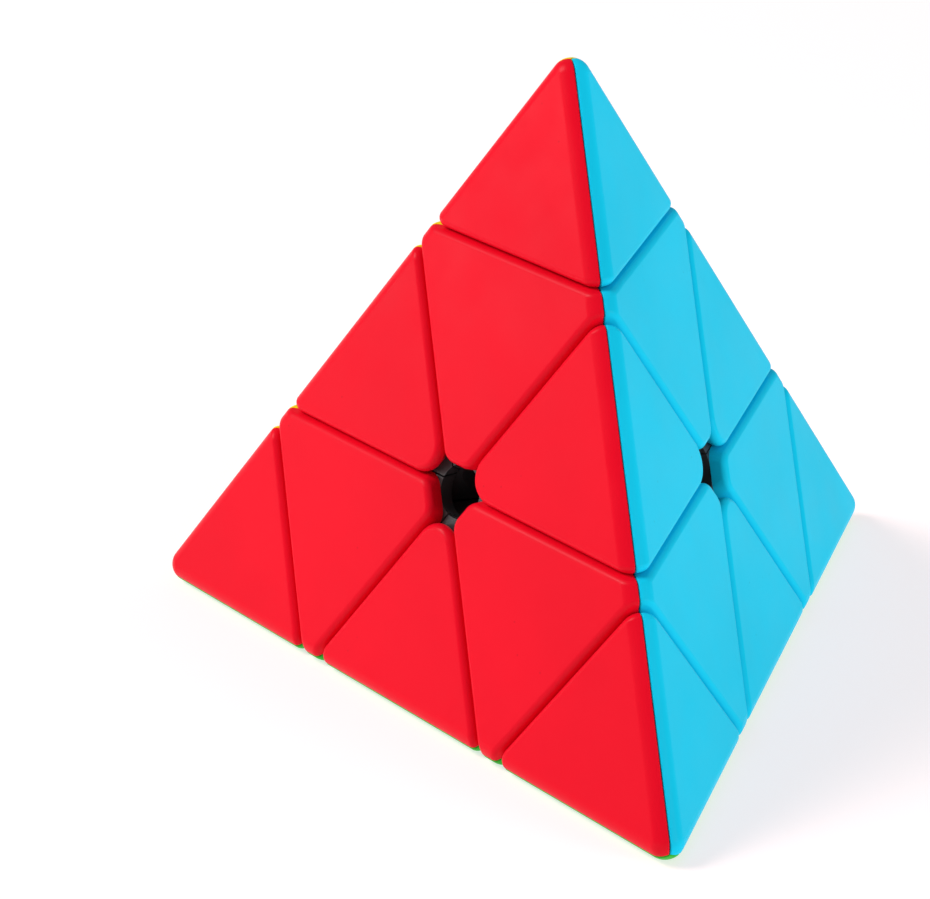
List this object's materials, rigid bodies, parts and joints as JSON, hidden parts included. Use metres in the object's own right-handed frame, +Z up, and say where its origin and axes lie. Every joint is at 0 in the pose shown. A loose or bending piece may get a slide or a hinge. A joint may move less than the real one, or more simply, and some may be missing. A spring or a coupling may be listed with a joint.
{
  "type": "pyramid twisty puzzle",
  "caption": "Four-sided pyramid twisty puzzle in green, blue, yellow and red plastic: each corner layer turns on a sprung screw and each tip turns by itself.",
  "frame": {"origin": "centre of the core, where the four turning axes cross", "axes": "+Z up to the top corner, square to the face it stands on; -Y towards the front corner"},
  "size_m": [0.0954, 0.0833, 0.0787],
  "materials": {
    "green_plastic": "satin moulded plastic",
    "blue_plastic": "satin moulded plastic",
    "yellow_plastic": "satin moulded plastic",
    "red_plastic": "satin moulded plastic",
    "mechanism_plastic": "dark grey satin moulded plastic",
    "steel": "plated steel"
  },
  "bodies": {
    "core": {"core_ball": "mechanism_plastic", "tension_screws": "steel", "tension_springs": "steel", "spring_washers": "steel"},
    "centre_top": {"centre_frame_top": "mechanism_plastic", "centre_shell_top_blue": "blue_plastic", "centre_shell_top_yellow": "yellow_plastic", "centre_shell_top_red": "red_plastic"},
    "centre_left": {"centre_frame_left": "mechanism_plastic", "centre_shell_left_green": "green_plastic", "centre_shell_left_red": "red_plastic", "centre_shell_left_yellow": "yellow_plastic"},
    "centre_front": {"centre_frame_front": "mechanism_plastic", "centre_shell_front_red": "red_plastic", "centre_shell_front_green": "green_plastic", "centre_shell_front_blue": "blue_plastic"},
    "centre_right": {"centre_frame_right": "mechanism_plastic", "centre_shell_right_yellow": "yellow_plastic", "centre_shell_right_blue": "blue_plastic", "centre_shell_right_green": "green_plastic"},
    "tip_top": {"tip_frame_top": "mechanism_plastic", "tip_shell_top_blue": "blue_plastic", "tip_shell_top_yellow": "yellow_plastic", "tip_shell_top_red": "red_plastic"},
    "tip_left": {"tip_frame_left": "mechanism_plastic", "tip_shell_left_green": "green_plastic", "tip_shell_left_red": "red_plastic", "tip_shell_left_yellow": "yellow_plastic"},
    "tip_front": {"tip_frame_front": "mechanism_plastic", "tip_shell_front_red": "red_plastic", "tip_shell_front_green": "green_plastic", "tip_shell_front_blue": "blue_plastic"},
    "tip_right": {"tip_frame_right": "mechanism_plastic", "tip_shell_right_yellow": "yellow_plastic", "tip_shell_right_blue": "blue_plastic", "tip_shell_right_green": "green_plastic"},
    "edge_top_left": {"edge_frame_top_left": "mechanism_plastic", "edge_shell_top_left_yellow": "yellow_plastic", "edge_shell_top_left_red": "red_plastic"},
    "edge_top_front": {"edge_frame_top_front": "mechanism_plastic", "edge_shell_top_front_red": "red_plastic", "edge_shell_top_front_blue": "blue_plastic"},
    "edge_top_right": {"edge_frame_top_right": "mechanism_plastic", "edge_shell_top_right_blue": "blue_plastic", "edge_shell_top_right_yellow": "yellow_plastic"},
    "edge_left_front": {"edge_frame_left_front": "mechanism_plastic", "edge_shell_left_front_green": "green_plastic", "edge_shell_left_front_red": "red_plastic"},
    "edge_front_right": {"edge_frame_front_right": "mechanism_plastic", "edge_shell_front_right_green": "green_plastic", "edge_shell_front_right_blue": "blue_plastic"},
    "edge_right_left": {"edge_frame_right_left": "mechanism_plastic", "edge_shell_right_left_green": "green_plastic", "edge_shell_right_left_yellow": "yellow_plastic"}
  },
  "joints": [
    {"name": "turn_top", "type": "hinge", "parent": "core", "child": "centre_top", "pos_m": [0, 0, 0], "axis": [0, 0, 1], "range_deg": [-240, 120]},
    {"name": "turn_left", "type": "hinge", "parent": "core", "child": "centre_left", "pos_m": [0, 0, 0], "axis": [-0.8165, 0.4714, -0.3333], "range_deg": [-240, 120]},
    {"name": "turn_front", "type": "hinge", "parent": "core", "child": "centre_front", "pos_m": [0, 0, 0], "axis": [0, -0.9428, -0.3333], "range_deg": [-240, 120]},
    {"name": "turn_right", "type": "hinge", "parent": "core", "child": "centre_right", "pos_m": [0, 0, 0], "axis": [0.8165, 0.4714, -0.3333], "range_deg": [-240, 120]},
    {"name": "spin_tip_top", "type": "hinge", "parent": "centre_top", "child": "tip_top", "pos_m": [0, 0, 0], "axis": [0, 0, 1], "continuous": true},
    {"name": "spin_tip_left", "type": "hinge", "parent": "centre_left", "child": "tip_left", "pos_m": [0, 0, 0], "axis": [-0.8165, 0.4714, -0.3333], "continuous": true},
    {"name": "spin_tip_front", "type": "hinge", "parent": "centre_front", "child": "tip_front", "pos_m": [0, 0, 0], "axis": [0, -0.9428, -0.3333], "continuous": true},
    {"name": "spin_tip_right", "type": "hinge", "parent": "centre_right", "child": "tip_right", "pos_m": [0, 0, 0], "axis": [0.8165, 0.4714, -0.3333], "continuous": true},
    {"name": "carry_top_left", "type": "hinge", "parent": "centre_top", "child": "edge_top_left", "pos_m": [0, 0, 0], "axis": [-0.8165, 0.4714, -0.3333], "range_deg": [-240, 120]},
    {"name": "carry_top_front", "type": "hinge", "parent": "centre_top", "child": "edge_top_front", "pos_m": [0, 0, 0], "axis": [0, -0.9428, -0.3333], "range_deg": [-240, 120]},
    {"name": "carry_top_right", "type": "hinge", "parent": "centre_top", "child": "edge_top_right", "pos_m": [0, 0, 0], "axis": [0.8165, 0.4714, -0.3333], "range_deg": [-240, 120]},
    {"name": "carry_left_front", "type": "hinge", "parent": "centre_left", "child": "edge_left_front", "pos_m": [0, 0, 0], "axis": [0, -0.9428, -0.3333], "range_deg": [-240, 120]},
    {"name": "carry_front_right", "type": "hinge", "parent": "centre_front", "child": "edge_front_right", "pos_m": [0, 0, 0], "axis": [0.8165, 0.4714, -0.3333], "range_deg": [-240, 120]},
    {"name": "carry_right_left", "type": "hinge", "parent": "centre_right", "child": "edge_right_left", "pos_m": [0, 0, 0], "axis": [-0.8165, 0.4714, -0.3333], "range_deg": [-240, 120]}
  ],
  "couplings": [
    {"joint": "carry_top_left", "follows": "turn_left", "ratio": 1},
    {"joint": "carry_top_front", "follows": "turn_front", "ratio": 1},
    {"joint": "carry_top_right", "follows": "turn_right", "ratio": 1},
    {"joint": "carry_left_front", "follows": "turn_front", "ratio": 1},
    {"joint": "carry_front_right", "follows": "turn_right", "ratio": 1},
    {"joint": "carry_right_left", "follows": "turn_left", "ratio": 1}
  ]
}
